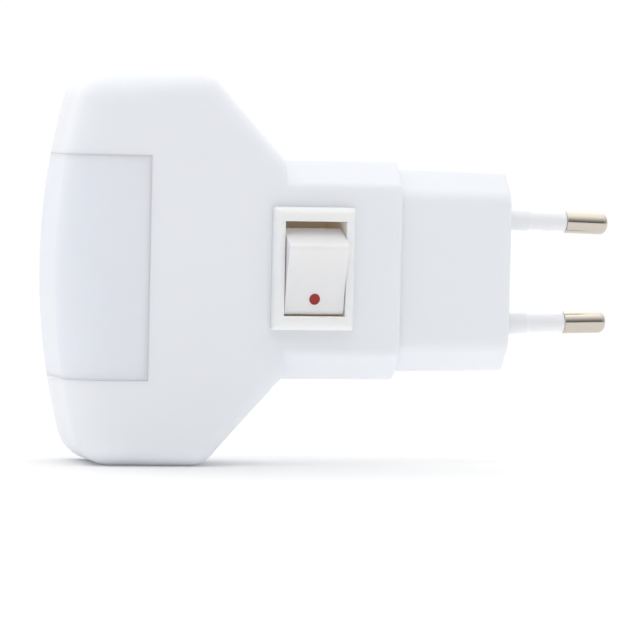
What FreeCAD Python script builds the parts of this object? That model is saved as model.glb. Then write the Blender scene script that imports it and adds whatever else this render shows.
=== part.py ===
import FreeCAD, Part
import math
import os
import Sketcher
from FreeCAD import Placement, Rotation, Vector

# Plug-in LED night light for a two-pin 4 mm socket, with a rocker switch.
#
# Frame: millimetres, +Z up as the light lies on its edge, X along the pins.
# The origin is the middle of the engagement face, between the pins.  The pins
# run to +X, the head and its opal lens are at -X, the switch faces -Y.
# The body is split into two shells on the plane Y = 0.

os.makedirs("parts", exist_ok=True)
doc = FreeCAD.newDocument("NightLight")

# --------------------------------------------------------------------------
# Driving dimensions
# --------------------------------------------------------------------------
sheet = doc.addObject("Spreadsheet::Sheet", "params")
dims = {}


def cell(alias, value):
    """Write one named dimension into the sheet."""
    row = len(dims) + 1
    sheet.set("A%d" % row, alias)
    sheet.set("B%d" % row, repr(round(float(value), 5)))
    sheet.setAlias("B%d" % row, alias)
    dims[alias] = round(float(value), 5)


TABLE = [
    # outer form of the body
    ("front_len", 82.2),        # engagement face to the front apex
    ("front_radius", 117.0),    # front face, seen from the side
    ("front_half", 13.975),     # half thickness at the front
    ("head_half", 34.42),       # half height of the head
    ("top_end", 55.4),          # engagement face to the end of the head's top
    ("neck_start", 41.9),       # engagement face to the foot of the shoulder
    ("neck_half", 19.35),       # half height of the neck
    ("neck_end", 20.5),         # engagement face to the neck's end
    ("neck_thick", 8.9),        # half thickness at the neck's end
    ("neck_bevel", 4.6),        # bevel along the neck
    ("neck_soft", 2.0),         # rounding between bevel and broad face
    ("neck_soft_top", 1.0),     # rounding between bevel and edge face
    ("neck_lip", 0.7),          # rounding round the neck's end
    ("shoulder_k", 0.446),      # tangent of half the shoulder's turn
    ("corner_radius", 6.7),     # front corners, seen from the side
    ("brow_radius", 5.2),       # between top and shoulder, seen from the side
    ("rim_front", 6.5),         # rounding round the head's front and top
    ("rim_brow", 4.8),          # the same where the shoulder begins
    ("rim_shoulder", 3.2),      # the same along the shoulder
    ("wall", 1.8),              # shell wall
    ("lip_gap", 1.92),          # outer skin to the lens lip
    ("lens_thick", 2.7),        # outer skin to the lens' inside
    ("no_offset", 0.0),
    # lens and its window
    ("window_end", 66.4),
    ("window_half", 19.5),
    ("lens_play", 0.02),
    ("lip_reach", 1.1),
    # plug block
    ("block_half", 17.65),
    ("block_thick", 6.85),
    ("block_flat", 13.05),
    ("block_side", 2.25),
    ("block_draft", 1.2),
    ("block_soft", 4.0),
    ("block_soft_side", 1.4),
    ("block_edge", 0.8),
    ("stem_half", 15.1),
    ("stem_thick", 5.1),
    ("stem_play", 0.08),
    ("flange_half", 16.6),
    ("flange_thick", 6.3),
    ("flange_bevel", 2.2),
    ("flange_front", 22.36),
    ("flange_back", 24.4),
    # pins
    ("pin_pitch_half", 9.3),
    ("pin_lean", 1.5),
    ("pin_tip", 19.4),
    ("pin_bare", 11.6),
    ("pin_radius", 2.0),
    ("pin_core", 1.35),
    ("pin_dome", 1.35),
    ("pin_tail", 27.0),
    ("tag_thick", 0.6),
    ("pin_stub", 1.0),
    ("rivet_radius", 1.7),
    ("rivet_height", 0.5),
    ("pin_flange", 2.4),
    ("pin_flange_a", 14.0),
    ("pin_flange_b", 16.0),
    ("sleeve_in", 3.0),
    ("sleeve_bore", 1.37),
    ("sleeve_radius", 1.7),
    ("collar_radius", 1.9),
    ("collar_len", 4.6),
    ("sleeve_end", 11.55),
    ("mould_play", 0.01),
    # switch, in its own frame on the panel: x across, y inward, z along
    ("switch_x", 37.0),
    ("switch_z", 0.27),
    ("bezel_width", 14.95),
    ("bezel_len", 21.5),
    ("bezel_proud", 2.0),
    ("bezel_corner", 0.45),
    ("bezel_soft", 1.4),
    ("mouth_soft", 0.2),
    ("case_width", 12.8),
    ("case_len", 19.0),
    ("case_depth", 12.2),
    ("mouth_width", 11.2),
    ("mouth_len", 16.54),
    ("case_floor", 11.2),
    ("axle_depth", 3.8),
    ("axle_radius", 1.2),
    ("axle_hole", 1.26),
    ("axle_reach", 6.1),
    ("cut_width", 13.0),
    ("cut_len", 19.2),
    ("barb_out", 0.45),
    # rocker, about its axle
    ("rocker_width", 10.8),
    ("ridge_z", 6.14),
    ("ridge_n", 6.99),
    ("ridge_soft", 0.9),
    ("toe_z", 7.85),
    ("toe_n", 1.28),
    ("face_radius", 30.0),
    ("rocker_swing", 14.4),
    ("dot_z", 3.5),
    ("dot_radius", 0.98),
    ("spring_bore", 1.15),
    ("spring_top", 3.3),
    ("spring_len", 4.5),
    ("plunger_top", 1.6),
    ("plunger_tip", 4.95),
    ("plunger_radius", 1.05),
    # see-saw contact
    ("blade_depth", 9.4),
    ("blade_half", 5.4),
    ("blade_width", 3.2),
    ("blade_thick", 0.5),
    ("blade_tilt", 6.0),
    ("contact_z", 4.4),
    ("contact_radius", 0.8),
    ("contact_height", 0.3),
    ("leg_thick", 0.6),
    ("leg_width", 3.2),
    ("leg_end", 16.4),
    # board and parts on it
    ("board_front", 63.5),
    ("board_thick", 1.6),
    ("board_half_y", 9.8),
    ("board_half_z", 18.0),
    ("led_w", 2.8),
    ("led_len", 3.5),
    ("led_tall", 0.8),
    ("can_radius", 3.15),
    ("can_len", 10.5),
    ("film_len", 10.0),
    ("film_w", 6.0),
    ("film_tall", 12.0),
    ("chip_tall", 2.4),
    ("chip_w", 4.7),
    ("chip_len", 6.0),
    ("resistor_radius", 1.15),
    ("resistor_len", 6.3),
    ("lead_radius", 0.3),
    ("wire_radius", 0.75),
    # posts and sockets
    ("post_radius", 1.5),
    ("socket_bore", 1.56),
    ("socket_radius", 2.75),
    ("post_reach", 3.0),
    ("socket_depth", 3.6),
    ("rib_thick", 1.15),
]
for alias, value in TABLE:
    cell(alias, value)
doc.recompute()


class Size:
    """A number together with the sheet expression that gives it."""

    def __init__(self, value, text):
        self.value = float(value)
        self.text = text

    @staticmethod
    def of(other):
        if isinstance(other, Size):
            return other
        return Size(other, "(%s)" % repr(float(other)))

    def _pair(self, other, mark, value):
        return Size(value, "(%s %s %s)" % (self.text, mark, other.text))

    def __add__(self, other):
        other = Size.of(other)
        return self._pair(other, "+", self.value + other.value)

    def __radd__(self, other):
        return Size.of(other) + self

    def __sub__(self, other):
        other = Size.of(other)
        return self._pair(other, "-", self.value - other.value)

    def __rsub__(self, other):
        return Size.of(other) - self

    def __mul__(self, other):
        other = Size.of(other)
        return self._pair(other, "*", self.value * other.value)

    def __rmul__(self, other):
        return Size.of(other) * self

    def __truediv__(self, other):
        other = Size.of(other)
        return self._pair(other, "/", self.value / other.value)

    def __neg__(self):
        return Size(-self.value, "(-%s)" % self.text)

    def root(self):
        return Size(math.sqrt(self.value), "sqrt(%s)" % self.text)


def P(alias):
    return Size(dims[alias], "params.%s" % alias)


# --------------------------------------------------------------------------
# Helpers
# --------------------------------------------------------------------------
def plane_of(body, role):
    for feature in body.Origin.OriginFeatures:
        if getattr(feature, "Role", "") == role:
            return feature
    raise RuntimeError("no plane " + role)


def new_body(name):
    return doc.addObject("PartDesign::Body", name)


def new_sketch(body, name, role, offset=None):
    sketch = body.newObject("Sketcher::SketchObject", name)
    sketch.AttachmentSupport = (plane_of(body, role), [""])
    sketch.MapMode = "FlatFace"
    if offset is not None:
        sketch.AttachmentOffset = Placement(Vector(0, 0, offset), Rotation())
    return sketch


def bind(sketch, kind, geo, pos, size):
    """One coordinate of a sketch point, driven by the sheet."""
    size = Size.of(size)
    index = sketch.addConstraint(Sketcher.Constraint(kind, geo, pos, size.value))
    if "params" in size.text:
        sketch.setExpression("Constraints[%d]" % index, size.text)


def add_polygon(sketch, points, arcs=None):
    """Closed outline; arcs maps an edge's index to its (centre x, radius, start, end)."""
    arcs = arcs or {}
    numbers = [(Size.of(x), Size.of(y)) for x, y in points]
    count = len(numbers)
    first = sketch.GeometryCount
    ends = {}
    for i in range(count):
        a = numbers[i]
        b = numbers[(i + 1) % count]
        va = Vector(a[0].value, a[1].value, 0)
        vb = Vector(b[0].value, b[1].value, 0)
        if i in arcs:
            via = Vector(arcs[i][0], arcs[i][1], 0)
            centre = Part.Arc(va, via, vb).toShape().Curve.Center
            angle_a = math.atan2(va.y - centre.y, va.x - centre.x)
            angle_b = math.atan2(vb.y - centre.y, vb.x - centre.x)
            turns_left = (via - va).cross(vb - via).z > 0
            circle = Part.Circle(centre, Vector(0, 0, 1), (va - centre).Length)
            if turns_left:
                sketch.addGeometry(Part.ArcOfCircle(circle, angle_a, angle_b))
                ends[i] = (first + i, 1, 2)
            else:
                sketch.addGeometry(Part.ArcOfCircle(circle, angle_b, angle_a))
                ends[i] = (first + i, 2, 1)
        else:
            sketch.addGeometry(Part.LineSegment(va, vb))
            ends[i] = (first + i, 1, 2)
    for i in range(count):
        geo, start, end = ends[i]
        nxt = ends[(i + 1) % count]
        sketch.addConstraint(Sketcher.Constraint("Coincident", geo, end, nxt[0], nxt[1]))
    for i in range(count):
        geo, start, end = ends[i]
        bind(sketch, "DistanceX", geo, start, numbers[i][0])
        bind(sketch, "DistanceY", geo, start, numbers[i][1])
    for i, via in arcs.items():
        geo = ends[i][0]
        radius = Size.of(via[2])
        index = sketch.addConstraint(Sketcher.Constraint("Radius", geo, radius.value))
        if "params" in radius.text:
            sketch.setExpression("Constraints[%d]" % index, radius.text)


def add_circle(sketch, x, y, radius):
    x, y, radius = Size.of(x), Size.of(y), Size.of(radius)
    geo = sketch.addGeometry(Part.Circle(Vector(x.value, y.value, 0), Vector(0, 0, 1), radius.value))
    bind(sketch, "DistanceX", geo, 3, x)
    bind(sketch, "DistanceY", geo, 3, y)
    index = sketch.addConstraint(Sketcher.Constraint("Radius", geo, radius.value))
    if "params" in radius.text:
        sketch.setExpression("Constraints[%d]" % index, radius.text)


def pad(body, name, sketch, length, symmetric=False, reverse=False):
    length = Size.of(length)
    feature = body.newObject("PartDesign::Pad", name)
    feature.Profile = sketch
    feature.Length = length.value
    if "params" in length.text:
        feature.setExpression("Length", length.text)
    if symmetric:
        feature.SideType = "Symmetric"
    feature.Reversed = reverse
    doc.recompute()
    return feature


def pocket(body, name, sketch, length=None, symmetric=False, reverse=False):
    before = body.Shape.Volume
    feature = body.newObject("PartDesign::Pocket", name)
    feature.Profile = sketch
    if length is None:
        feature.Type = "ThroughAll"
    else:
        length = Size.of(length)
        feature.Length = length.value
        if "params" in length.text:
            feature.setExpression("Length", length.text)
    if symmetric:
        feature.SideType = "Symmetric"
    feature.Reversed = reverse
    doc.recompute()
    if not body.Shape.Volume < before - 1e-6:
        raise RuntimeError("pocket %s removed nothing" % name)
    return feature


def revolve(body, name, sketch, axis="H_Axis"):
    feature = body.newObject("PartDesign::Revolution", name)
    feature.Profile = sketch
    feature.ReferenceAxis = (sketch, [axis])
    feature.Angle = 360
    doc.recompute()
    return feature


def edge_names(shape, test):
    return ["Edge%d" % (i + 1) for i, e in enumerate(shape.Edges) if test(e)]


def fillet(body, name, base, names, radius):
    radius = Size.of(radius)
    feature = body.newObject("PartDesign::Fillet", name)
    feature.Base = (base, names)
    feature.Radius = radius.value
    if "params" in radius.text:
        feature.setExpression("Radius", radius.text)
    doc.recompute()
    return feature


def chamfer(body, name, base, names, size):
    size = Size.of(size)
    feature = body.newObject("PartDesign::Chamfer", name)
    feature.Base = (base, names)
    feature.Size = size.value
    if "params" in size.text:
        feature.setExpression("Size", size.text)
    doc.recompute()
    return feature


def fuse(name, items):
    feature = doc.addObject("Part::MultiFuse", name)
    feature.Shapes = items
    feature.Refine = True
    doc.recompute()
    return feature


def cut(name, base, tool):
    feature = doc.addObject("Part::Cut", name)
    feature.Base = base
    feature.Tool = tool
    feature.Refine = True
    doc.recompute()
    return feature


def common(name, items):
    feature = doc.addObject("Part::MultiCommon", name)
    feature.Shapes = items
    feature.Refine = True
    doc.recompute()
    return feature


def box(name, length, width, height, corner):
    feature = doc.addObject("Part::Box", name)
    for prop, size in (("Length", length), ("Width", width), ("Height", height)):
        size = Size.of(size)
        setattr(feature, prop, size.value)
        if "params" in size.text:
            feature.setExpression(prop, size.text)
    feature.Placement = Placement(Vector(*corner), Rotation())
    doc.recompute()
    return feature


def cylinder(name, radius, height, base, direction):
    feature = doc.addObject("Part::Cylinder", name)
    for prop, size in (("Radius", radius), ("Height", height)):
        size = Size.of(size)
        setattr(feature, prop, size.value)
        if "params" in size.text:
            feature.setExpression(prop, size.text)
    feature.Placement = Placement(Vector(*base), Rotation(Vector(0, 0, 1), Vector(*direction)))
    doc.recompute()
    return feature


finished = []


def keep(feature, label):
    """Mark a sub-part: its label names its file."""
    feature.Label = label
    finished.append(feature)
    return feature


# --------------------------------------------------------------------------
# Outer form of the body, and the same form set in by a wall
# --------------------------------------------------------------------------
SLOPE = (P("front_half") - P("neck_thick")) / (P("front_len") - P("neck_end"))
TAPER = math.atan(SLOPE.value)


def side_y(x, off):
    """Half thickness at x (negative), set in by off."""
    return P("front_half") - off * (1.0 / math.cos(TAPER)) - SLOPE * (x + P("front_len"))


def taper_wedges(body, name, off):
    """Cut both broad faces to their taper."""
    sketch = new_sketch(body, name + "_sketch", "XY_Plane")
    for sign in (1.0, -1.0):
        xa, xb = Size.of(-100.0), Size.of(-5.0)
        add_polygon(sketch, [
            (xa, side_y(xa, off) * sign),
            (xb, side_y(xb, off) * sign),
            (xb, Size.of(30.0 * sign)),
            (xa, Size.of(30.0 * sign)),
        ])
    return pocket(body, name, sketch, symmetric=True)


def head_form(tag, off_alias, shoulder=True):
    off = P(off_alias)
    body = new_body("head_" + tag)
    sketch = new_sketch(body, "head_outline_" + tag, "XZ_Plane")
    zt = P("head_half") - off
    zn = P("neck_half") - off
    radius = P("front_radius") - off
    x_corner = -(P("front_len") - off) + radius - (radius * radius - zt * zt).root()
    x_brow = -P("top_end") - off * P("shoulder_k")
    x_foot = -P("neck_start") - off * P("shoulder_k")
    points = [
        (x_corner, zt), (x_brow, zt), (x_foot, zn),
        (x_foot, -zn), (x_brow, -zt), (x_corner, -zt),
    ]
    apex = -(dims["front_len"] - off.value)
    add_polygon(sketch, points, {5: (apex, 0.0, radius)})
    pad(body, "head_pad_" + tag, sketch, 40.0, symmetric=True)
    wedge = taper_wedges(body, "head_taper_" + tag, off)

    def upright(e, x, z, tol=0.6):
        if len(e.Vertexes) != 2:
            return False
        a, b = e.Vertexes[0].Point, e.Vertexes[1].Point
        return (abs(a.x - b.x) < 1e-4 and abs(a.z - b.z) < 1e-4 and abs(a.y - b.y) > 5
                and abs(a.x - x) < tol and abs(abs(a.z) - z) < tol)

    names = edge_names(wedge.Shape, lambda e: upright(e, x_corner.value, zt.value))
    f1 = fillet(body, "head_corner_" + tag, wedge, names, P("corner_radius") - off)
    names = edge_names(f1.Shape, lambda e: upright(e, x_brow.value, zt.value))
    f2 = fillet(body, "head_brow_" + tag, f1, names, P("brow_radius") - off)
    # rounding of the rim, wider at the front than along the shoulder
    r_front = max(dims["rim_front"] - off.value, 0.5)
    r_brow = max(dims["rim_brow"] - off.value, 0.5)
    r_foot = max(dims["rim_shoulder"] - off.value, 0.5)
    rows = []
    foot = x_foot.value
    for i, e in enumerate(f2.Shape.Edges):
        pts = [v.Point for v in e.Vertexes]
        if len(pts) != 2:
            continue
        if not all(abs(abs(p.y) - side_y(Size.of(p.x), off).value) < 0.02 for p in pts):
            continue
        if pts[0].y * pts[1].y < 0:
            continue
        if all(abs(p.x - foot) < 1e-3 for p in pts):
            continue

        def radius_at(p):
            z = abs(p.z)
            if p.x > x_brow.value - 4.5:
                share = (z - zn.value) / (zt.value - zn.value)
                if share > 0.80:
                    return r_brow
                return r_foot + (r_brow - r_foot) * max(share, 0.0) * 0.9
            return r_front

        a = e.valueAt(e.FirstParameter)
        b = e.valueAt(e.LastParameter)
        rows.append((i + 1, radius_at(a), radius_at(b)))
    rim = doc.addObject("Part::Fillet", "head_rim_" + tag)
    rim.Base = body
    rim.Edges = rows
    doc.recompute()
    return rim


def neck_form(tag, off_alias):
    off = P(off_alias)
    body = new_body("neck_" + tag)
    sketch = new_sketch(body, "neck_outline_" + tag, "XZ_Plane")
    zn = P("neck_half") - off
    x_in = Size.of(-46.0)
    x_end = -P("neck_end") - off
    add_polygon(sketch, [(x_in, zn), (x_end, zn), (x_end, -zn), (x_in, -zn)])
    pad(body, "neck_pad_" + tag, sketch, 40.0, symmetric=True)
    wedge = taper_wedges(body, "neck_taper_" + tag, off)

    def rim(e):
        pts = [v.Point for v in e.Vertexes]
        return (len(pts) == 2 and abs(pts[0].x - pts[1].x) > 10
                and all(abs(abs(p.z) - zn.value) < 1e-3 for p in pts))

    names = edge_names(wedge.Shape, rim)
    bevel = chamfer(body, "neck_bevel_" + tag, wedge, names, P("neck_bevel") - off * 0.586)
    if off.value > 0:
        return body

    def along(e, on_broad):
        pts = [v.Point for v in e.Vertexes]
        if len(pts) != 2 or abs(pts[0].x - pts[1].x) < 10 or abs(pts[0].z) > zn.value + 0.1:
            return False
        if on_broad:
            return all(abs(abs(p.y) - side_y(Size.of(p.x), off).value) < 1e-2 for p in pts)
        return all(abs(abs(p.z) - zn.value) < 1e-3 for p in pts)

    names = edge_names(bevel.Shape, lambda e: along(e, True))
    soft_a = fillet(body, "neck_soft_" + tag, bevel, names, P("neck_soft"))
    names = edge_names(soft_a.Shape, lambda e: along(e, False))
    soft_b = fillet(body, "neck_soft_top_" + tag, soft_a, names, P("neck_soft_top"))
    names = edge_names(soft_b.Shape, lambda e: abs(e.BoundBox.XMin - x_end.value) < 1e-3
                       and abs(e.BoundBox.XMax - x_end.value) < 1e-3)
    fillet(body, "neck_lip_" + tag, soft_b, names, P("neck_lip"))
    return body


outer_head = head_form("outer", "no_offset")
outer_neck = neck_form("outer", "no_offset")
outer = fuse("outer_form", [outer_head, outer_neck])
inner_head = head_form("inner", "wall")
inner_neck = neck_form("inner", "wall")
inner = fuse("inner_form", [inner_head, inner_neck])

# --------------------------------------------------------------------------
# Lens: outer skin in the window, with a thin lip behind the shells
# --------------------------------------------------------------------------
lip_form = head_form("lip", "lip_gap")
lens_inside = head_form("lens", "lens_thick")
window = box("window_space", 40.0, 60.0, P("window_half") * 2,
             (-dims["window_end"] - 40.0, -30.0, -dims["window_half"]))
lens_zone = box("lens_zone", 40.0, 60.0, (P("window_half") - P("lens_play")) * 2,
                (-dims["window_end"] - 40.0 - dims["lens_play"], -30.0,
                 -dims["window_half"] + dims["lens_play"]))
lip_zone = box("lip_zone", 40.0, 60.0, (P("window_half") + P("lip_reach")) * 2,
               (-dims["window_end"] - 40.0 + dims["lip_reach"], -30.0,
                -dims["window_half"] - dims["lip_reach"]))
lens_skin = common("lens_skin", [outer_head, lens_zone])
lens_lip = common("lens_lip", [lip_form, lip_zone])
lens_solid = fuse("lens_solid", [lens_skin, lens_lip])
lens_hollow = cut("lens_hollow", lens_solid, lens_inside)
# the hollow is open toward the board: clear everything past the lip
keep(lens_hollow, "diffuser")

# --------------------------------------------------------------------------
# Shells
# --------------------------------------------------------------------------
stem_hole = box("stem_hole", 6.0, (P("stem_thick") + P("stem_play")) * 2,
                (P("stem_half") + P("stem_play")) * 2,
                (-24.0, -dims["stem_thick"] - dims["stem_play"],
                 -dims["stem_half"] - dims["stem_play"]))
hollow = cut("hollow_body", outer, inner)
windowed = cut("windowed_body", hollow, window)
ended = cut("ended_body", windowed, stem_hole)
near_space = box("near_space", 120.0, 40.0, 100.0, (-110.0, -40.0, -50.0))
far_space = box("far_space", 120.0, 40.0, 100.0, (-110.0, 0.0, -50.0))
near_skin = common("near_skin", [ended, near_space])
far_skin = common("far_skin", [ended, far_space])

POSTS = [(-58.0, 28.4), (-58.0, -28.4), (-46.6, 19.0), (-46.6, -19.0)]
near_inside = []
far_inside = []
socket_bores = []
for i, (x, z) in enumerate(POSTS):
    near_inside.append(cylinder("post_%d" % i, P("post_radius"), P("post_reach") + 13.0,
                                (x, -13.0, z), (0, 1, 0)))
    far_inside.append(cylinder("socket_%d" % i, P("socket_radius"), 13.0, (x, 0.0, z), (0, 1, 0)))
    near_inside.append(cylinder("post_foot_%d" % i, P("socket_radius"), 12.9, (x, -13.0, z), (0, 1, 0)))
    socket_bores.append(cylinder("socket_bore_%d" % i, P("socket_bore"), P("socket_depth") + 1.0,
                                 (x, -1.0, z), (0, 1, 0)))
for i, (x0, z0) in enumerate([(-64.7, 12.0), (-64.7, -12.0), (-61.85, 12.0), (-61.85, -12.0)]):
    near_inside.append(box("rib_near_%d" % i, P("rib_thick"), 4.2, 1.4, (x0, -13.0, z0 - 0.7)))
    far_inside.append(box("rib_far_%d" % i, P("rib_thick"), 4.2, 1.4, (x0, 8.8, z0 - 0.7)))
# posts cross the split by post_reach, so they are trimmed on their outer side only
post_zone = box("post_zone", 120.0, 20.0, 100.0, (-110.0, -1.0, -50.0))
near_posts = common("near_posts", [fuse("near_features", near_inside), outer])
far_posts = cut("far_posts", common("far_posts_solid", [fuse("far_features", far_inside), outer]),
                fuse("socket_bores", socket_bores))
near_whole = fuse("near_whole", [near_skin, near_posts])
far_whole = fuse("far_whole", [far_skin, far_posts])

# the switch stands on the tapered near face: its own frame is turned by TAPER
SWITCH_X = -dims["switch_x"]
SWITCH_Y = -side_y(Size.of(SWITCH_X), Size.of(0.0)).value
SWITCH = Placement(Vector(SWITCH_X, SWITCH_Y, 0), Rotation(Vector(0, 0, 1), math.degrees(TAPER)))
# the case stands a little off the rocker's axle
CASE = SWITCH.multiply(Placement(Vector(0, 0, dims["switch_z"]), Rotation()))


def on_switch(x, y, z):
    """A point of the switch's frame, in the part's frame."""
    return SWITCH.multVec(Vector(x, y, z))


cutout = box("switch_cutout", P("cut_width"), 8.0, P("cut_len"), (0, 0, 0))
cutout.Placement = CASE.multiply(Placement(
    Vector(-dims["cut_width"] / 2, -3.0, -dims["cut_len"] / 2), Rotation()))
doc.recompute()
near_shell = cut("near_cut", near_whole, cutout)
keep(near_shell, "near_shell")
keep(far_whole, "far_shell")

# --------------------------------------------------------------------------
# Plug block, moulded round the pins
# --------------------------------------------------------------------------


def octagon(half, flat, thick, side):
    """Outline across the plug: y thickness, z width, bevelled corners."""
    return [(thick, flat), (side, half), (-side, half), (-thick, flat),
            (-thick, -flat), (-side, -half), (side, -half), (thick, -flat)]


block = new_body("block_body")
face_sketch = new_sketch(block, "block_face", "YZ_Plane")
add_polygon(face_sketch, octagon(P("block_half"), P("block_flat"), P("block_thick"), P("block_side")))
block_pad = pad(block, "block_pad", face_sketch, P("neck_end"), reverse=True)
block_pad.TaperAngle = dims["block_draft"]
block_pad.setExpression("TaperAngle", "params.block_draft")
doc.recompute()


def lengthwise(e, broad):
    pts = [v.Point for v in e.Vertexes]
    if len(pts) != 2 or abs(pts[0].x - pts[1].x) < 10:
        return False
    on_flat = abs(abs(pts[0].y)) > 5
    return on_flat if broad else not on_flat


names = edge_names(block_pad.Shape, lambda e: lengthwise(e, True))
soft = fillet(block, "block_soft", block_pad, names, P("block_soft"))
names = edge_names(soft.Shape, lambda e: lengthwise(e, False) and abs(e.Vertexes[0].Point.z) > 17)
soft2 = fillet(block, "block_soft_side", soft, names, P("block_soft_side"))


def on_face(e):
    return all(abs(v.Point.x) < 1e-4 for v in e.Vertexes) and abs(e.BoundBox.XMax) < 1e-4 and abs(e.BoundBox.XMin) < 1e-4


names = edge_names(soft2.Shape, on_face)
front_edge = fillet(block, "block_front_edge", soft2, names, P("block_edge"))

stem = new_body("stem_body")
stem_sketch = new_sketch(stem, "stem_sketch", "YZ_Plane", -dims["flange_back"])
add_polygon(stem_sketch, [(P("stem_thick"), P("stem_half")), (-P("stem_thick"), P("stem_half")),
                          (-P("stem_thick"), -P("stem_half")), (P("stem_thick"), -P("stem_half"))])
pad(stem, "stem_pad", stem_sketch, P("flange_back") - P("neck_end") + 1.0)
flange_sketch = new_sketch(stem, "flange_sketch", "YZ_Plane", -dims["flange_back"])
fb = P("flange_bevel")
add_polygon(flange_sketch, octagon(P("flange_half"), P("flange_half") - fb, P("flange_thick"),
                                   P("flange_thick") - fb))
pad(stem, "flange_pad", flange_sketch, P("flange_back") - P("flange_front"))
block_whole = fuse("block_whole", [block, stem])


def pin_place(sign):
    """The pins lean together by pin_lean each."""
    return Placement(Vector(0, 0, sign * dims["pin_pitch_half"]),
                     Rotation(Vector(0, 1, 0), sign * dims["pin_lean"]))


def pin_body(name, sign):
    body = new_body(name)
    sketch = new_sketch(body, name + "_sketch", "XZ_Plane")
    tail = -P("pin_tail")
    back = tail - P("tag_thick")
    add_polygon(sketch, [
        (back - P("rivet_height"), 0.0),
        (back - P("rivet_height"), P("rivet_radius") - 0.3),
        (back - P("rivet_height") + 0.3, P("rivet_radius")),
        (back, P("rivet_radius")),
        (back, P("pin_stub")),
        (tail, P("pin_stub")),
        (tail, P("pin_core")),
        (-P("pin_flange_b"), P("pin_core")),
        (-P("pin_flange_b"), P("pin_flange")),
        (-P("pin_flange_a"), P("pin_flange")),
        (-P("pin_flange_a"), P("pin_core")),
        (P("pin_bare"), P("pin_core")),
        (P("pin_bare"), P("pin_radius") - 0.12),
        (P("pin_bare") + 0.12, P("pin_radius")),
        (P("pin_tip"), P("pin_radius")),
        (P("pin_tip"), 0.0),
    ])
    rev = revolve(body, name + "_turned", sketch)
    names = edge_names(rev.Shape, lambda e: len(e.Vertexes) == 1 and abs(e.BoundBox.XMin - dims["pin_tip"]) < 1e-3
                       and abs(e.BoundBox.XMax - dims["pin_tip"]) < 1e-3)
    fillet(body, name + "_dome", rev, names, P("pin_dome"))
    body.Placement = pin_place(sign)
    return body


def sleeve_body(name, sign):
    body = new_body(name)
    sketch = new_sketch(body, name + "_sketch", "XZ_Plane")
    add_polygon(sketch, [
        (-P("sleeve_in"), P("sleeve_bore")),
        (-P("sleeve_in"), P("collar_radius")),
        (P("collar_len"), P("collar_radius")),
        (P("collar_len") + 0.6, P("sleeve_radius")),
        (P("sleeve_end") - 1.0, P("sleeve_radius")),
        (P("sleeve_end"), P("collar_radius") - 0.05),
        (P("sleeve_end"), P("sleeve_bore")),
    ])
    revolve(body, name + "_turned", sketch)
    body.Placement = pin_place(sign)
    return body


def bore_body(name, sign):
    """Space that one pin and its sleeve take in the block."""
    body = new_body(name)
    sketch = new_sketch(body, name + "_sketch", "XZ_Plane")
    play = P("mould_play")
    add_polygon(sketch, [
        (-30.0, 0.0),
        (-30.0, P("pin_core") + play),
        (-P("pin_flange_b") - play, P("pin_core") + play),
        (-P("pin_flange_b") - play, P("pin_flange") + play),
        (-P("pin_flange_a") + play, P("pin_flange") + play),
        (-P("pin_flange_a") + play, P("pin_core") + play),
        (-P("sleeve_in") - play, P("pin_core") + play),
        (-P("sleeve_in") - play, P("collar_radius") + play),
        (2.0, P("collar_radius") + play),
        (2.0, 0.0),
    ])
    revolve(body, name + "_turned", sketch)
    body.Placement = pin_place(sign)
    return body


def tag_body(name, sign):
    body = new_body(name)
    sketch = new_sketch(body, name + "_sketch", "YZ_Plane", -dims["pin_tail"] - dims["tag_thick"])
    add_polygon(sketch, [(-2.4, -2.4), (4.0, -2.4), (4.9, -1.5), (4.9, 1.5), (4.0, 2.4), (-2.4, 2.4)])
    add_circle(sketch, 0.0, 0.0, P("pin_stub") + 0.01)
    pad(body, name + "_pad", sketch, P("tag_thick"))
    body.Placement = pin_place(sign)
    return body


bores = fuse("pin_bores", [bore_body("upper_bore", 1), bore_body("lower_bore", -1)])
keep(cut("plug_cut", block_whole, bores), "plug_block")
keep(pin_body("upper_pin_body", 1), "upper_pin")
keep(pin_body("lower_pin_body", -1), "lower_pin")
keep(sleeve_body("upper_sleeve_body", 1), "upper_pin_sleeve")
keep(sleeve_body("lower_sleeve_body", -1), "lower_pin_sleeve")
keep(tag_body("upper_tag_body", 1), "upper_solder_tag")
keep(tag_body("lower_tag_body", -1), "lower_solder_tag")

# --------------------------------------------------------------------------
# Switch housing with its bezel (own frame: x across, y inward, z along)
# --------------------------------------------------------------------------
housing = new_body("housing_body")
bz = new_sketch(housing, "bezel_sketch", "XZ_Plane")
hw, hl = P("bezel_width") / 2, P("bezel_len") / 2
add_polygon(bz, [(hw, hl), (-hw, hl), (-hw, -hl), (hw, -hl)])
bezel_pad = pad(housing, "bezel_pad", bz, P("bezel_proud"))
if housing.Shape.BoundBox.YMax > 0.01:
    bezel_pad.Reversed = True
    doc.recompute()
proud = dims["bezel_proud"]
names = edge_names(bezel_pad.Shape, lambda e: abs(e.BoundBox.YMin + proud) < 1e-4 and abs(e.BoundBox.YMax + proud) < 1e-4)
rounded = fillet(housing, "bezel_rim", bezel_pad, names, P("bezel_soft"))
names = edge_names(rounded.Shape, lambda e: len(e.Vertexes) == 2
                   and abs(abs(e.valueAt(e.FirstParameter).x) - hw.value) < 1.45
                   and abs(abs(e.valueAt(e.FirstParameter).z) - hl.value) < 1.45
                   and abs(abs(e.valueAt(e.LastParameter).x) - hw.value) < 1.45
                   and abs(abs(e.valueAt(e.LastParameter).z) - hl.value) < 1.45
                   and e.BoundBox.YMax - e.BoundBox.YMin > 0.3)
fillet(housing, "bezel_corners", rounded, names, P("bezel_corner"))
cs = new_sketch(housing, "case_sketch", "XZ_Plane")
cw, cl = P("case_width") / 2, P("case_len") / 2
add_polygon(cs, [(cw, cl), (-cw, cl), (-cw, -cl), (cw, -cl)])
case_pad = pad(housing, "case_pad", cs, P("case_depth"))
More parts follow.
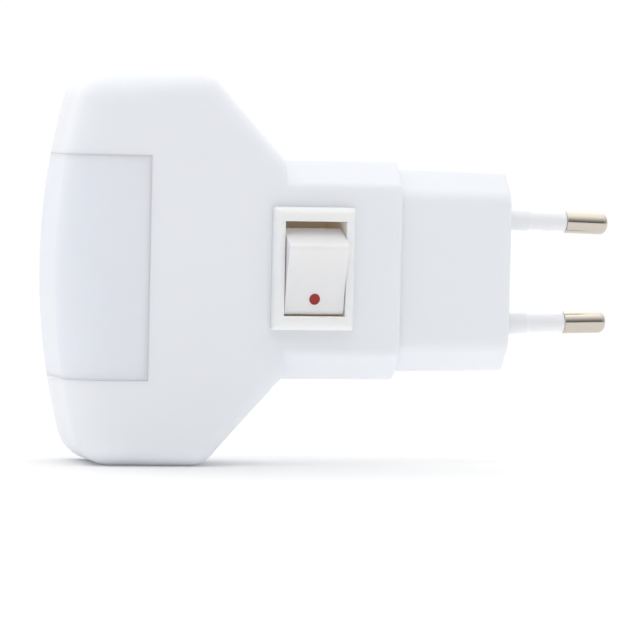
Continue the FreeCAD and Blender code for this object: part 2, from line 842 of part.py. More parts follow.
if housing.Shape.BoundBox.YMax < 5:
    case_pad.Reversed = True
    doc.recompute()
mouth = box("mouth_space", P("mouth_width"), P("case_floor") + P("bezel_proud") + 1.0, P("mouth_len"),
            (-dims["mouth_width"] / 2, -dims["bezel_proud"] - 1.0, -dims["mouth_len"] / 2))
axle_space = cylinder("axle_space", P("axle_hole"), P("case_width") + 2.0,
                      (-dims["case_width"] / 2 - 1.0, dims["axle_depth"], -dims["switch_z"]), (1, 0, 0))
leg_slot_a = box("leg_slot_a", P("leg_width") + 0.06, 4.0, P("leg_thick") + 0.06,
                 (-dims["leg_width"] / 2 - 0.03, dims["case_floor"] - 1.0,
                  -dims["leg_thick"] / 2 - 0.03 - dims["switch_z"]))
leg_slot_b = box("leg_slot_b", P("leg_width") + 0.06, 4.0, P("leg_thick") + 0.06,
                 (-dims["leg_width"] / 2 - 0.03, dims["case_floor"] - 1.0, 6.4 - 0.03 - dims["switch_z"]))
housing_spaces = fuse("housing_spaces", [mouth, axle_space, leg_slot_a, leg_slot_b])
# spring barbs behind the panel, on both short sides
barbs = []
for sign in (1, -1):
    wedge = doc.addObject("Part::Wedge", "barb_%s" % ("top" if sign > 0 else "bottom"))
    # x across, y inward, z out from the case: full height at y = 0
    wedge.Xmin, wedge.Xmax = 0, 5.0
    wedge.Ymin, wedge.Ymax = 0, 2.8
    wedge.Zmin, wedge.Zmax = 0, dims["barb_out"] + 0.3
    wedge.X2min, wedge.X2max = 0, 5.0
    wedge.Z2min, wedge.Z2max = 0, 0.3
    if sign > 0:
        wedge.Placement = Placement(Vector(-2.5, dims["wall"] + 0.06, dims["case_len"] / 2 - 0.3), Rotation())
    else:
        wedge.Placement = Placement(Vector(2.5, dims["wall"] + 0.06, -dims["case_len"] / 2 + 0.3),
                                    Rotation(Vector(0, 1, 0), 180))
    barbs.append(wedge)
doc.recompute()
housing_raw = fuse("housing_raw", [housing] + barbs)
housing_cut = cut("housing_cut", housing_raw, housing_spaces)
housing_soft = doc.addObject("Part::Fillet", "housing_soft")
housing_soft.Base = housing_cut
housing_soft.Edges = [
    (i + 1, dims["mouth_soft"], dims["mouth_soft"]) for i, e in enumerate(housing_cut.Shape.Edges)
    if abs(e.BoundBox.YMin + proud) < 1e-4 and abs(e.BoundBox.YMax + proud) < 1e-4
    and max(abs(e.BoundBox.XMin), abs(e.BoundBox.XMax)) < dims["mouth_width"] / 2 + 0.01
    and max(abs(e.BoundBox.ZMin), abs(e.BoundBox.ZMax)) < dims["mouth_len"] / 2 + 0.01]
doc.recompute()
housing_soft.Placement = CASE
keep(housing_soft, "switch_housing")

# --------------------------------------------------------------------------
# Rocker, built level about its axle, then turned to its rest pose
# --------------------------------------------------------------------------
ROCKER = SWITCH.multiply(Placement(Vector(0, dims["axle_depth"], 0),
                                   Rotation(Vector(1, 0, 0), dims["rocker_swing"])))


def rocker_profile(body, name, width):
    """Side view, sketch x = y inward, sketch y = z; the worn face is hollow."""
    sketch = new_sketch(body, name, "YZ_Plane")
    sagitta = P("face_radius") - (P("face_radius") * P("face_radius") - P("ridge_z") * P("ridge_z")).root()
    points = [
        (-P("ridge_n"), P("ridge_z")),
        (-P("ridge_n"), -P("ridge_z")),
        (-P("toe_n"), -P("toe_z")),
        (-0.5, -7.7),
        (-0.3, -6.0),
        (0.3, -2.4),
        (1.0, -1.75),
        (4.0, -1.75),
        (4.0, 1.75),
        (1.0, 1.75),
        (0.3, 2.4),
        (-0.3, 6.0),
        (-0.5, 7.7),
        (-P("toe_n"), P("toe_z")),
    ]
    add_polygon(sketch, points, {0: (-dims["ridge_n"] + sagitta.value, 0.0, P("face_radius"))})
    return pad(body, name + "_pad", sketch, width, symmetric=True)


rocker = new_body("rocker_body")
profile = rocker_profile(rocker, "rocker_side", P("rocker_width"))
# the tube below the axle is narrower than the cap
for sign in (1, -1):
    sk = new_sketch(rocker, "rocker_waist_%s" % ("a" if sign > 0 else "b"), "XY_Plane")
    add_polygon(sk, [(1.75 * sign, 1.7), (8.0 * sign, 1.7), (8.0 * sign, 6.0), (1.75 * sign, 6.0)])
    pocket(rocker, "rocker_waist_cut_%s" % ("a" if sign > 0 else "b"), sk, symmetric=True)
ax = new_sketch(rocker, "axle_sketch", "YZ_Plane")
add_circle(ax, 0.0, 0.0, P("axle_radius"))
pad(rocker, "axle_pad", ax, P("axle_reach") * 2, symmetric=True)
if rocker.Shape.BoundBox.YMax < 3.95:
    raise RuntimeError("rocker tube lost")
bore_top = cylinder("bore_top", P("spring_bore"), P("spring_top") + 5.0, (0, -dims["spring_top"], 0), (0, 1, 0))
dot_space = cylinder("dot_space", P("dot_radius") + 0.01, 3.0, (0, -dims["ridge_n"] - 1.41, -dims["dot_z"]), (0, 1, 0))
rocker_hollow = fuse("rocker_hollow", [bore_top, dot_space])
rocker_cut = cut("rocker_cut", rocker, rocker_hollow)
# soften the ridges and the side edges of the cap
soft_rows = []
for i, e in enumerate(rocker_cut.Shape.Edges):
    pts = [v.Point for v in e.Vertexes]
    if len(pts) == 2 and all(abs(abs(p.z) - dims["ridge_z"]) < 1e-3 and abs(p.y + dims["ridge_n"]) < 1e-3 for p in pts) \
            and abs(pts[0].x - pts[1].x) > 5:
        soft_rows.append((i + 1, dims["ridge_soft"], dims["ridge_soft"]))
rocker_soft = doc.addObject("Part::Fillet", "rocker_soft")
rocker_soft.Base = rocker_cut
rocker_soft.Edges = soft_rows
doc.recompute()
rocker_soft.Placement = ROCKER
keep(rocker_soft, "rocker")

dot_core = cylinder("dot_core", P("dot_radius"), 1.8, (0, -dims["ridge_n"] - 0.21, -dims["dot_z"]), (0, 1, 0))
dot_form = new_body("dot_form")
rocker_profile(dot_form, "dot_side", P("rocker_width"))
dot_part = common("dot_part", [dot_core, dot_form])
dot_part.Placement = ROCKER
keep(dot_part, "marker_dot")

# coil spring inside the rocker's tube, and the plunger that it presses
pitch = dims["spring_len"] / 5.0
helix = doc.addObject("Part::Helix", "spring_helix")
helix.SegmentLength = 1
helix.Pitch = pitch
helix.Height = dims["spring_len"]
helix.setExpression("Height", "params.spring_len")
helix.Radius = 0.82
helix.Placement = Placement(Vector(0, -dims["spring_top"] + 0.2, 0), Rotation(Vector(0, 0, 1), Vector(0, 1, 0)))
wire_round = doc.addObject("Part::Circle", "spring_round")
wire_round.Radius = 0.14
start = helix.Placement.multVec(Vector(0.82, 0, 0))
doc.recompute()
tangent = helix.Placement.Rotation.multVec(Vector(0, 2 * math.pi * 0.82, pitch))
wire_round.Placement = Placement(start, Rotation(Vector(0, 0, 1), tangent))
spring = doc.addObject("Part::Sweep", "spring_sweep")
spring.Sections = [wire_round]
spring.Spine = (helix, [])
spring.Solid = True
spring.Frenet = True
doc.recompute()
spring.Placement = ROCKER
keep(spring, "rocker_spring")

plunger = new_body("plunger_body")
pl = new_sketch(plunger, "plunger_sketch", "XY_Plane")
r = P("plunger_radius")
tip = P("plunger_tip")
add_polygon(pl, [(0.0, P("plunger_top")), (r, P("plunger_top")), (r, tip - r), (0.0, tip)],
            {2: (dims["plunger_radius"] * 0.7071, dims["plunger_tip"] - dims["plunger_radius"] * 0.2929, r)})
revolve(plunger, "plunger_turned", pl, "V_Axis")
plunger.Placement = ROCKER
keep(plunger, "switch_plunger")

# --------------------------------------------------------------------------
# See-saw contact and terminals
# --------------------------------------------------------------------------
BLADE = SWITCH.multiply(Placement(Vector(0, dims["blade_depth"], 0),
                                  Rotation(Vector(1, 0, 0), -dims["blade_tilt"])))
blade = new_body("blade_body")
bs = new_sketch(blade, "blade_side", "YZ_Plane")
bh = P("blade_half")
bt = P("blade_thick") + 0.05
add_polygon(bs, [(-bt, bh), (-bt, -bh), (-0.05, -bh), (-0.05, -0.25), (0.2, -0.12), (0.2, 0.12),
                 (-0.05, 0.25), (-0.05, bh)])
pad(blade, "blade_pad", bs, P("blade_width"), symmetric=True)
blade_hole = cylinder("blade_hole", 0.42, 2.0, (0, -1.5, dims["contact_z"]), (0, 1, 0))
blade_cut = cut("blade_cut", blade, blade_hole)
blade_cut.Placement = BLADE
keep(blade_cut, "contact_blade")
mc_head = cylinder("moving_head", P("contact_radius"), P("contact_height"), (0, -0.05, dims["contact_z"]), (0, 1, 0))
mc_shank = cylinder("moving_shank", 0.4, 0.62, (0, -0.6, dims["contact_z"]), (0, 1, 0))
mc = fuse("moving_rivet", [mc_head, mc_shank])
mc.Placement = BLADE
keep(mc, "moving_contact")

lw, lt = dims["leg_width"], dims["leg_thick"]
y_pivot = dims["blade_depth"] + 0.2 + 0.03
com = new_body("common_body")
cs2 = new_sketch(com, "common_face", "XY_Plane")
hw2 = P("leg_width") / 2
add_polygon(cs2, [(-hw2, y_pivot), (hw2, y_pivot), (hw2, P("leg_end") - 0.8), (hw2 - 0.8, P("leg_end")),
                  (-hw2 + 0.8, P("leg_end")), (-hw2, P("leg_end") - 0.8)])
add_circle(cs2, 0.0, P("leg_end") - 1.4, 0.6)
pad(com, "common_pad", cs2, P("leg_thick"), symmetric=True)
com.Placement = SWITCH
keep(com, "common_terminal")

# fixed contact: its top is just under the closed moving contact
closed = (dims["contact_height"] - 0.05) * math.cos(math.radians(dims["blade_tilt"])) \
    + (dims["contact_z"] + dims["contact_radius"]) * math.sin(math.radians(dims["blade_tilt"]))
y_fixed = dims["blade_depth"] + closed + 0.02
load = new_body("load_body")
ls = new_sketch(load, "load_side", "YZ_Plane")
y_top = y_fixed + 0.3
add_polygon(ls, [(y_top, 3.3), (y_top, 7.0), (P("leg_end"), 7.0), (P("leg_end"), 7.0 - P("leg_thick")),
                 (y_top + P("leg_thick"), 7.0 - P("leg_thick")), (y_top + P("leg_thick"), 3.3)])
pad(load, "load_pad", ls, P("leg_width"), symmetric=True)
load.Placement = SWITCH
load_hole = None
keep(load, "load_terminal")
fc = cylinder("fixed_head", P("contact_radius") + 0.1, 0.3, (0, y_fixed, dims["contact_z"]), (0, 1, 0))
fc.Placement = SWITCH.multiply(fc.Placement)
doc.recompute()
keep(fc, "fixed_contact")

# --------------------------------------------------------------------------
# LED board and its components
# --------------------------------------------------------------------------
bx = -dims["board_front"]
back = bx + dims["board_thick"]
keep(box("board", P("board_thick"), P("board_half_y") * 2, P("board_half_z") * 2,
         (bx, -dims["board_half_y"], -dims["board_half_z"])), "led_board")
led_cases = []
for i, z in enumerate((-12.6, -4.2, 4.2, 12.6)):
    case = box("led_case_%d" % i, P("led_tall"), P("led_w"), P("led_len"),
               (bx - dims["led_tall"], -dims["led_w"] / 2, z - dims["led_len"] / 2))
    led_cases.append(case)
leds = doc.addObject("Part::Compound", "led_group")
leds.Links = led_cases
doc.recompute()
keep(leds, "leds")

film = box("film_box", P("film_len"), P("film_w"), P("film_tall"), (back + 0.1, -4.6, -16.4))
film_soft = doc.addObject("Part::Fillet", "film_soft")
film_soft.Base = film
film_soft.Edges = [(i + 1, 0.8, 0.8) for i, e in enumerate(film.Shape.Edges)]
doc.recompute()
film_legs = [cylinder("film_leg_%d" % i, P("lead_radius"), 0.6, (back, -1.6, z), (1, 0, 0))
             for i, z in enumerate((-14.4, -6.4))]
keep(fuse("film_whole", [film_soft] + film_legs), "dropper_capacitor")

can = cylinder("can_body", P("can_radius"), P("can_len"), (back + 0.1, 3.6, 11.6), (1, 0, 0))
can_soft = doc.addObject("Part::Fillet", "can_soft")
can_soft.Base = can
can_soft.Edges = [(i + 1, 0.5, 0.5) for i, e in enumerate(can.Shape.Edges) if abs(e.BoundBox.XMax - e.BoundBox.XMin) < 1e-4]
doc.recompute()
can_legs = [cylinder("can_leg_%d" % i, P("lead_radius"), 0.6, (back, 3.6, 11.6 + dz), (1, 0, 0))
            for i, dz in enumerate((-1.25, 1.25))]
keep(fuse("can_whole", [can_soft] + can_legs), "smoothing_capacitor")

keep(box("chip", P("chip_tall"), P("chip_w"), P("chip_len"), (back, -8.6, 6.6)), "bridge_rectifier")


def axial(name, y, z0):
    """Axial resistor lying on the board, its leads bent down into it."""
    x0 = back + 1.5
    length = dims["resistor_len"]
    core = cylinder(name + "_core", P("resistor_radius"), P("resistor_len"), (x0, y, z0), (0, 0, 1))
    lr = dims["lead_radius"]
    runs = []
    for k, (za, zb) in enumerate(((z0, z0 - 1.6), (z0 + length, z0 + length + 1.6))):
        sign = -1 if k == 0 else 1
        a = Vector(x0, y, za - sign * 0.3)
        b = Vector(x0, y, zb - sign * 0.9)
        c = Vector(x0 - 0.9, y, zb)
        d = Vector(back, y, zb)
        mid = Vector(x0 - 0.9 + 0.9 * math.cos(math.pi / 4), y, zb - sign * 0.9 + sign * 0.9 * math.sin(math.pi / 4))
        path = Part.Wire([Part.LineSegment(a, b).toShape(), Part.Arc(b, mid, c).toShape(), Part.LineSegment(c, d).toShape()])
        ring = Part.Wire([Part.Circle(a, Vector(0, 0, sign), lr).toShape()])
        runs.append(path.makePipeShell([ring], True, False))
    lead = doc.addObject("Part::Feature", name + "_leads")
    lead.Shape = Part.makeCompound(runs)
    doc.recompute()
    return fuse(name + "_whole", [core, lead])


keep(axial("bleed", 7.2, -12.6), "bleed_resistor")
keep(axial("fuse_resistor", -6.6, -3.6), "fusible_resistor")


# --------------------------------------------------------------------------
# Insulated wires: straight runs joined by tangent arcs
# --------------------------------------------------------------------------
def wire_path(points):
    """Edges of a route with an arc at each inner point, and the arcs' radii."""
    pts = [Vector(*p) for p in points]
    edges = []
    radii = []
    here = pts[0]
    for i in range(1, len(pts) - 1):
        a, b, c = pts[i - 1], pts[i], pts[i + 1]
        u = (a - b).normalize()
        v = (c - b).normalize()
        turn = math.pi - u.getAngle(v)
        reach = 0.45 * min((a - b).Length, (c - b).Length)
        radius = reach / math.tan(turn / 2)
        p = b + u * reach
        q = b + v * reach
        bis = (u + v).normalize()
        mid = b + bis * (radius / math.cos(turn / 2) - radius)
        edges.append(Part.LineSegment(here, p).toShape())
        edges.append(Part.Arc(p, mid, q).toShape())
        radii.append(radius)
        here = q
    edges.append(Part.LineSegment(here, pts[-1]).toShape())
    return Part.Wire(edges), radii


def wire_solid(name, points):
    path, radii = wire_path(points)
    first = Vector(*points[0])
    direction = (Vector(*points[1]) - first).normalize()
    ring = Part.Wire([Part.Circle(first, direction, dims["wire_radius"]).toShape()])
    solid = path.makePipeShell([ring], True, False)
    feature = doc.addObject("Part::Feature", name)
    feature.Shape = solid
    feature.Placement = Placement()
    expected = math.pi * dims["wire_radius"] ** 2 * path.Length
    print("%s: length %.1f mm, volume %.1f of %.1f, radii %s"
          % (name, path.Length, solid.Volume, expected, ["%.1f" % x for x in radii]))
    return feature


leg_live = on_switch(lw / 2 + 0.01, 14.6, 0.0)
leg_load = on_switch(-lw / 2 - 0.01, 14.2, 6.7)
tag_up = pin_place(1).multVec(Vector(-dims["pin_tail"] - dims["tag_thick"] - 0.01, 3.4, 0))
tag_lo = pin_place(-1).multVec(Vector(-dims["pin_tail"] - dims["tag_thick"] - 0.01, 3.4, 0))
made = {feature.Label: feature for feature in finished}
for label, route, ends in (
        ("live_wire", [tuple(tag_up), (-31.6, 3.5, 9.6), (-33.2, 4.3, 5.4), (-33.9, 4.6, 1.2),
                       tuple(leg_live)], ("upper_solder_tag", "common_terminal")),
        ("switched_wire", [tuple(leg_load), (-44.0, 4.6, 6.0), (-50.0, 4.9, 3.4), (-56.0, 3.6, 1.6),
                           (back + 0.01, 2.6, 1.2)], ("load_terminal", "led_board")),
        ("neutral_wire", [tuple(tag_lo), (-33.5, 3.9, -11.0), (-41.0, 4.9, -12.6), (-49.0, 5.4, -12.2),
                          (-55.5, 4.2, -12.9), (back + 0.01, 3.3, -15.4)], ("lower_solder_tag", "led_board"))):
    # each run is trimmed flush with the metal or the board that it is soldered to
    run = wire_solid(label + "_run", route)
    ends_whole = fuse(label + "_ends", [made[end] for end in ends])
    keep(cut(label + "_trim", run, ends_whole), label)

# --------------------------------------------------------------------------
# Check and write
# --------------------------------------------------------------------------
doc.recompute()
for obj in doc.Objects:
    for flag in obj.State:
        if flag in ("Invalid", "Error"):
            raise RuntimeError("%s is %s" % (obj.Name, flag))
for feature in finished:
    shape = feature.Shape
    if shape.isNull() or not shape.isValid():
        raise RuntimeError("%s has no valid shape" % feature.Label)
for name in os.listdir("parts"):
    if name.endswith(".step"):
        os.remove(os.path.join("parts", name))
for feature in finished:
    shape = feature.Shape
    shape.exportStep(os.path.join("parts", feature.Label + ".step"))
    b = shape.BoundBox
    print("%-20s solids %d  vol %9.2f  x %7.2f %7.2f  y %7.2f %7.2f  z %7.2f %7.2f"
          % (feature.Label, len(shape.Solids), shape.Volume, b.XMin, b.XMax, b.YMin, b.YMax, b.ZMin, b.ZMax))
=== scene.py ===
import math

import bmesh
import bpy
from mathutils import Matrix, Vector


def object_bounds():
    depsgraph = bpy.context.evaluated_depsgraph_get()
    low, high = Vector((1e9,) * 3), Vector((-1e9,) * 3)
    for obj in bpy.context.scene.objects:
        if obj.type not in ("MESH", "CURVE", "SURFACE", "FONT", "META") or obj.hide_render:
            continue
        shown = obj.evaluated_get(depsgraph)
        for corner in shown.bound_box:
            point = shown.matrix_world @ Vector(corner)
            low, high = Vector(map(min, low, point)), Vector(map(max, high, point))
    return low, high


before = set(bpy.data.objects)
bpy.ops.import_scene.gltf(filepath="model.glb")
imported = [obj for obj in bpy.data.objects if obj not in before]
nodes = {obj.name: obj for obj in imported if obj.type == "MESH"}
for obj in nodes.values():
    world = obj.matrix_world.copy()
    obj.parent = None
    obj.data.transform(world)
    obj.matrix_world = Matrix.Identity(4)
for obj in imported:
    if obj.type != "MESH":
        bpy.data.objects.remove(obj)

cad_low, cad_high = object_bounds()
scene = bpy.context.scene
MM = 0.001

# levels of the soft room, and the power of the key light
ROOM = {"base": 0.48, "front_dip": 0.40, "front_from": 0.05, "front_to": 0.90,
        "top": 1.02, "left": 0.02, "behind": 0.56, "low": 0.3, "key": 1.3, "under": 1.5}

# ---------------------------------------------------------------------------
# Camera: in front of the switch face, a little towards the lens and above
# ---------------------------------------------------------------------------
AZ, EL, ROLL = math.radians(-13.5), math.radians(2.2), math.radians(1.22)
back = Vector((math.sin(AZ) * math.cos(EL), -math.cos(AZ) * math.cos(EL), math.sin(EL)))
right0 = Vector((math.cos(AZ), math.sin(AZ), 0.0))
up0 = back.cross(right0)
right = right0 * math.cos(ROLL) + up0 * math.sin(ROLL)
up = -right0 * math.sin(ROLL) + up0 * math.cos(ROLL)
aim = Vector((-32.96, 0.0, -9.10)) * MM
cam_data = bpy.data.cameras.new("view")
cam = bpy.data.objects.new("view", cam_data)
scene.collection.objects.link(cam)
cam_data.sensor_width = 36.0
cam_data.lens = 5087.5 / 640.0 * 36.0
cam_data.clip_start = 0.05
cam_data.clip_end = 20.0
cam.matrix_world = Matrix((
    (right.x, up.x, back.x, aim.x + back.x * 0.9),
    (right.y, up.y, back.y, aim.y + back.y * 0.9),
    (right.z, up.z, back.z, aim.z + back.z * 0.9),
    (0, 0, 0, 1)))
scene.camera = cam


# ---------------------------------------------------------------------------
# Node helpers
# ---------------------------------------------------------------------------
def new_material(name):
    mat = bpy.data.materials.new(name)
    mat.use_nodes = True
    tree = mat.node_tree
    tree.nodes.clear()
    out = tree.nodes.new("ShaderNodeOutputMaterial")
    shader = tree.nodes.new("ShaderNodeBsdfPrincipled")
    tree.links.new(shader.outputs[0], out.inputs[0])
    return mat, tree, shader


def node(tree, kind, **values):
    n = tree.nodes.new(kind)
    for key, value in values.items():
        if key in n.inputs:
            n.inputs[key].default_value = value
        else:
            setattr(n, key, value)
    return n


def place(tree, scale=1.0, stretch=(1.0, 1.0, 1.0)):
    """Object coordinates, in metres; scale is per metre."""
    tc = tree.nodes.new("ShaderNodeTexCoord")
    mp = tree.nodes.new("ShaderNodeMapping")
    mp.inputs["Scale"].default_value = tuple(scale * s for s in stretch)
    tree.links.new(tc.outputs["Object"], mp.inputs["Vector"])
    return mp.outputs["Vector"]


def noise(tree, vector, scale, detail=3.0, rough=0.55):
    n = tree.nodes.new("ShaderNodeTexNoise")
    n.inputs["Scale"].default_value = scale
    n.inputs["Detail"].default_value = detail
    n.inputs["Roughness"].default_value = rough
    tree.links.new(vector, n.inputs["Vector"])
    return n.outputs["Fac"]


def ramp(tree, fac, stops):
    n = tree.nodes.new("ShaderNodeValToRGB")
    while len(n.color_ramp.elements) > 1:
        n.color_ramp.elements.remove(n.color_ramp.elements[-1])
    n.color_ramp.elements[0].position = stops[0][0]
    n.color_ramp.elements[0].color = (*stops[0][1], 1.0)
    for pos, col in stops[1:]:
        e = n.color_ramp.elements.new(pos)
        e.color = (*col, 1.0)
    tree.links.new(fac, n.inputs["Fac"])
    return n.outputs["Color"]


def spread(tree, fac, low, high):
    n = tree.nodes.new("ShaderNodeMapRange")
    n.inputs["To Min"].default_value = low
    n.inputs["To Max"].default_value = high
    tree.links.new(fac, n.inputs["Value"])
    return n.outputs["Result"]


def bump(tree, height, strength, distance, shader, after=None):
    n = tree.nodes.new("ShaderNodeBump")
    n.inputs["Strength"].default_value = strength
    n.inputs["Distance"].default_value = distance
    tree.links.new(height, n.inputs["Height"])
    if after is not None:
        tree.links.new(after, n.inputs["Normal"])
    tree.links.new(n.outputs["Normal"], shader.inputs["Normal"])
    return n.outputs["Normal"]


def plastic(name, colour, rough, grain=9000.0, grain_depth=0.00002, tint=0.012, sub=0.0, sub_radius=(0.004, 0.004, 0.004),
            coat=0.0, spec=0.5):
    """Moulded plastic: faint flow mottling, fine spark grain, uneven gloss."""
    mat, tree, shader = new_material(name)
    v = place(tree)
    cloud = noise(tree, v, 70.0, 4.0, 0.6)
    dark = tuple(max(0.0, c - tint) for c in colour)
    tree.links.new(ramp(tree, cloud, [(0.30, dark), (0.70, colour)]), shader.inputs["Base Color"])
    smear = noise(tree, v, 260.0, 5.0, 0.6)
    tree.links.new(spread(tree, smear, rough - 0.05, rough + 0.05), shader.inputs["Roughness"])
    fine = noise(tree, v, grain, 2.0, 0.5)
    bump(tree, fine, 0.25, grain_depth, shader)
    shader.inputs["Specular IOR Level"].default_value = spec
    if sub > 0:
        shader.inputs["Subsurface Weight"].default_value = sub
        shader.inputs["Subsurface Radius"].default_value = sub_radius
        shader.inputs["Subsurface Scale"].default_value = 1.0
    if coat > 0:
        shader.inputs["Coat Weight"].default_value = coat
        shader.inputs["Coat Roughness"].default_value = 0.25
    return mat


def metal(name, colour, rough, stretch=(1.0, 1.0, 1.0), grain=2500.0, tint=0.05):
    """Drawn or plated metal: hair lines along the part, slightly uneven gloss."""
    mat, tree, shader = new_material(name)
    v = place(tree, 1.0, stretch)
    lines = noise(tree, v, grain, 4.0, 0.6)
    dark = tuple(max(0.0, c - tint) for c in colour)
    tree.links.new(ramp(tree, lines, [(0.25, dark), (0.75, colour)]), shader.inputs["Base Color"])
    tree.links.new(spread(tree, lines, rough - 0.06, rough + 0.08), shader.inputs["Roughness"])
    shader.inputs["Metallic"].default_value = 1.0
    bump(tree, lines, 0.15, 0.00001, shader)
    return mat


M = {}
M["shell"] = plastic("shell_white", (0.815, 0.835, 0.88), 0.42, sub=0.25, sub_radius=(0.003, 0.003, 0.0032))
M["opal"] = plastic("opal_white", (0.775, 0.80, 0.87), 0.36, sub=0.45, sub_radius=(0.0035, 0.0037, 0.004))
M["block"] = plastic("block_white", (0.805, 0.825, 0.86), 0.45, sub=0.15, sub_radius=(0.002, 0.002, 0.0022))
M["sleeve"] = plastic("sleeve_white", (0.80, 0.81, 0.83), 0.42)
M["switch"] = plastic("switch_white", (0.85, 0.85, 0.85), 0.33, sub=0.35, sub_radius=(0.0035, 0.0022, 0.0013))
M["rocker"] = plastic("rocker_white", (0.80, 0.80, 0.81), 0.36, grain=14000.0, grain_depth=0.00003,
                      sub=0.25, sub_radius=(0.003, 0.0022, 0.0014))
M["red"] = plastic("dot_red", (0.31, 0.022, 0.022), 0.3, tint=0.03)
M["pin"] = metal("pin_nickel", (0.63, 0.58, 0.51), 0.16, stretch=(1.0, 8.0, 8.0))
M["tin"] = metal("tinned", (0.72, 0.72, 0.72), 0.3)
M["spring"] = metal("spring_steel", (0.55, 0.55, 0.57), 0.25)
M["brass"] = metal("contact_strip", (0.78, 0.58, 0.27), 0.25, stretch=(1, 1, 6))
M["silver"] = metal("contact_tip", (0.85, 0.85, 0.86), 0.2)
M["plunger"] = plastic("nylon_natural", (0.78, 0.75, 0.66), 0.4)
M["board"] = plastic("board_lacquer", (0.78, 0.80, 0.77), 0.3)
M["led"] = plastic("led_gel", (0.88, 0.72, 0.22), 0.3)
M["film"] = plastic("film_dip", (0.45, 0.08, 0.035), 0.25)
M["can"] = plastic("can_sleeve", (0.02, 0.02, 0.028), 0.28)
M["chip"] = plastic("chip_black", (0.018, 0.018, 0.02), 0.5)
M["resistor"] = plastic("resistor_lacquer", (0.50, 0.36, 0.20), 0.4)
M["brown"] = plastic("wire_brown", (0.12, 0.05, 0.02), 0.4)
M["black"] = plastic("wire_black", (0.015, 0.015, 0.016), 0.4)
M["blue"] = plastic("wire_blue", (0.02, 0.09, 0.32), 0.4)



def paint_glow_in_mouth(mat):
    """Painted glow: a faint warm emission on the floor of the switch's mouth gives the gap its brownish tone;
    no light source is there.
    """
    tree = mat.node_tree
    shader = next(n for n in tree.nodes if n.type == "BSDF_PRINCIPLED")

    def op(kind, a, b):
        n = tree.nodes.new("ShaderNodeMath")
        n.operation = kind
        for i, v in enumerate((a, b)):
            if isinstance(v, (int, float)):
                n.inputs[i].default_value = v
            elif v is not None:
                tree.links.new(v, n.inputs[i])
        return n.outputs[0]

    tc = tree.nodes.new("ShaderNodeTexCoord")
    sep = tree.nodes.new("ShaderNodeSeparateXYZ")
    tree.links.new(tc.outputs["Object"], sep.inputs[0])
    dx = op("ADD", sep.outputs[0], 0.0370)
    dy = op("ADD", sep.outputs[1], 0.010257)
    across = op("ADD", op("MULTIPLY", dx, 0.99663), op("MULTIPLY", dy, 0.08197))
    inward = op("ADD", op("MULTIPLY", dx, -0.08197), op("MULTIPLY", dy, 0.99663))
    along = op("SUBTRACT", sep.outputs[2], 0.00027)
    deep = tree.nodes.new("ShaderNodeMapRange")
    deep.interpolation_type = "SMOOTHSTEP"
    deep.inputs["From Min"].default_value = -0.0018
    deep.inputs["From Max"].default_value = -0.0002
    tree.links.new(inward, deep.inputs["Value"])
    inside = op("MULTIPLY", op("LESS_THAN", op("ABSOLUTE", across, None), 0.00570),
                op("LESS_THAN", op("ABSOLUTE", along, None), 0.00835))
    cloud = noise(tree, tc.outputs["Object"], 400.0, 2.0)
    painted_glow_strength = op("MULTIPLY", op("MULTIPLY", deep.outputs["Result"], inside), spread(tree, cloud, 0.10, 0.16))
    # painted glow: this warm emission colour stands in for the tone of the gap and is no lamp
    shader.inputs["Emission Color"].default_value = (0.42, 0.27, 0.14, 1.0)
    tree.links.new(painted_glow_strength, shader.inputs["Emission Strength"])


# paints a faint warm glow into the switch's mouth
paint_glow_in_mouth(M["switch"])

LOOK = {
    "diffuser": "opal", "near_shell": "shell", "far_shell": "shell", "plug_block": "block",
    "upper_pin": "pin", "lower_pin": "pin", "upper_pin_sleeve": "sleeve", "lower_pin_sleeve": "sleeve",
    "upper_solder_tag": "tin", "lower_solder_tag": "tin", "switch_housing": "switch", "rocker": "rocker",
    "marker_dot": "red", "rocker_spring": "spring", "switch_plunger": "plunger", "contact_blade": "brass",
    "moving_contact": "silver", "common_terminal": "brass", "load_terminal": "brass", "fixed_contact": "silver",
    "led_board": "board", "leds": "led", "dropper_capacitor": "film", "smoothing_capacitor": "can",
    "bridge_rectifier": "chip", "bleed_resistor": "resistor", "fusible_resistor": "resistor",
    "live_wire": "brown", "switched_wire": "black", "neutral_wire": "blue",
}
for name, look in LOOK.items():
    obj = nodes[name]
    obj.data.materials.clear()
    obj.data.materials.append(M[look])

# ---------------------------------------------------------------------------
# Floor and light
# ---------------------------------------------------------------------------
floor_z = cad_low[2] - 0.0001


def floor_mesh():
    """A wide flat table, white, running far out on every side."""
    bm = bmesh.new()
    rows = []
    xs = [-8.0 + 16.0 * i / 32 for i in range(33)]
    for y in xs:
        rows.append([bm.verts.new((x, y, floor_z)) for x in xs])
    for a, b in zip(rows, rows[1:]):
        for i in range(len(xs) - 1):
            bm.faces.new((a[i], a[i + 1], b[i + 1], b[i]))
    mesh = bpy.data.meshes.new("floor")
    bm.to_mesh(mesh)
    bm.free()
    for p in mesh.polygons:
        p.use_smooth = True
    return mesh


floor = bpy.data.objects.new("floor", floor_mesh())
scene.collection.objects.link(floor)
mat, tree, shader = new_material("paper_white")
v = place(tree)
tree.links.new(ramp(tree, noise(tree, v, 12.0, 3.0), [(0.2, (0.81, 0.81, 0.81)), (0.8, (0.82, 0.82, 0.82))]),
               shader.inputs["Base Color"])
shader.inputs["Roughness"].default_value = 0.9
shader.inputs["Specular IOR Level"].default_value = 0.1
floor.data.materials.append(mat)

scene.view_settings.view_transform = "Standard"
world = bpy.data.worlds.new("studio")
scene.world = world
world.use_nodes = True
wt = world.node_tree
bg = wt.nodes.get("Background")
bg.inputs["Color"].default_value = (1.0, 1.0, 1.0, 1.0)


def math_node(tree, op, a, b=None, clamp=False):
    n = tree.nodes.new("ShaderNodeMath")
    n.operation = op
    n.use_clamp = clamp
    for i, v in enumerate((a, b)):
        if v is None:
            continue
        if isinstance(v, (int, float)):
            n.inputs[i].default_value = v
        else:
            tree.links.new(v, n.inputs[i])
    return n.outputs[0]


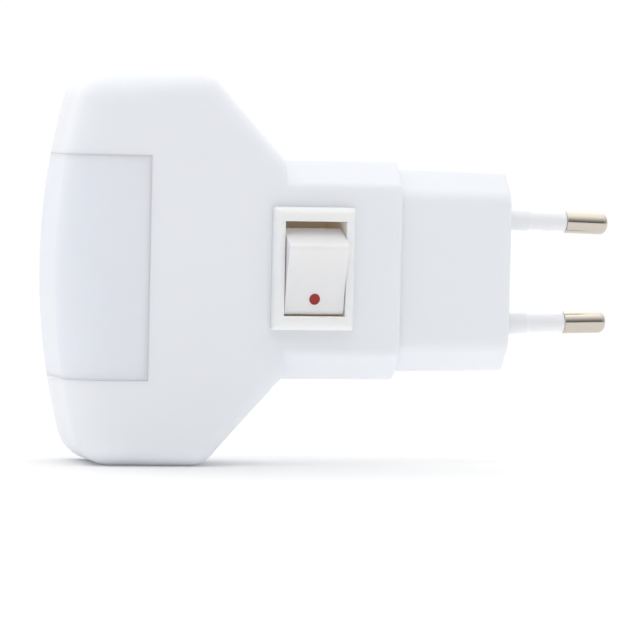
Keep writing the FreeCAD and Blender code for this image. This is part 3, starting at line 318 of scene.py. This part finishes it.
def smooth(tree, value, low, high):
    n = tree.nodes.new("ShaderNodeMapRange")
    n.interpolation_type = "SMOOTHSTEP"
    n.inputs["From Min"].default_value = low
    n.inputs["From Max"].default_value = high
    tree.links.new(value, n.inputs["Value"])
    return n.outputs["Result"]


# soft white room: brightest overhead and on the lens side, dimmer in front of
# the switch face, where the room is open
wtc = wt.nodes.new("ShaderNodeTexCoord")
wsep = wt.nodes.new("ShaderNodeSeparateXYZ")
wt.links.new(wtc.outputs["Generated"], wsep.inputs[0])
wx, wy, wz = wsep.outputs[0], wsep.outputs[1], wsep.outputs[2]
ahead = smooth(wt, math_node(wt, "MULTIPLY", wy, -1.0), ROOM["front_from"], ROOM["front_to"])
level = math_node(wt, "SUBTRACT", ROOM["base"], math_node(wt, "MULTIPLY", ahead, ROOM["front_dip"]))
level = math_node(wt, "ADD", level, math_node(wt, "MULTIPLY", smooth(wt, wz, 0.0, 1.0), ROOM["top"]))
level = math_node(wt, "ADD", level, math_node(wt, "MULTIPLY", wx, -ROOM["left"]))
level = math_node(wt, "ADD", level, math_node(wt, "MULTIPLY", smooth(wt, wy, 0.0, 0.9), ROOM["behind"]))
# nothing shines from below the table's plane
level = math_node(wt, "MULTIPLY", level, smooth(wt, wz, -0.09, -0.05))
wt.links.new(level, bg.inputs["Strength"])


def area(name, at, look_at, size, power, colour=(1, 1, 1), size_y=None):
    data = bpy.data.lights.new(name, "AREA")
    data.shape = "RECTANGLE"
    data.size = size
    data.size_y = size_y or size
    data.energy = power
    data.color = colour
    obj = bpy.data.objects.new(name, data)
    scene.collection.objects.link(obj)
    obj.location = at
    obj.rotation_euler = (Vector(look_at) - Vector(at)).to_track_quat("-Z", "Y").to_euler()
    return obj


centre = (-0.035, 0.0, 0.0)
# a low soft panel in front lifts the underside's rounding
low = area("low_panel", (-0.10, -1.25, 0.03), (-0.035, 0.0, -0.01), 0.9, ROOM["low"], size_y=0.12)
low.visible_glossy = False
# a broad soft panel over the front, and the glow of the white table from below
area("key", (-0.10, -0.35, 0.82), centre, 0.6, ROOM["key"])
glow = area("table_glow", (-0.05, -0.25, -0.65), centre, 0.8, ROOM["under"])
glow.visible_glossy = False
floor.visible_shadow = False
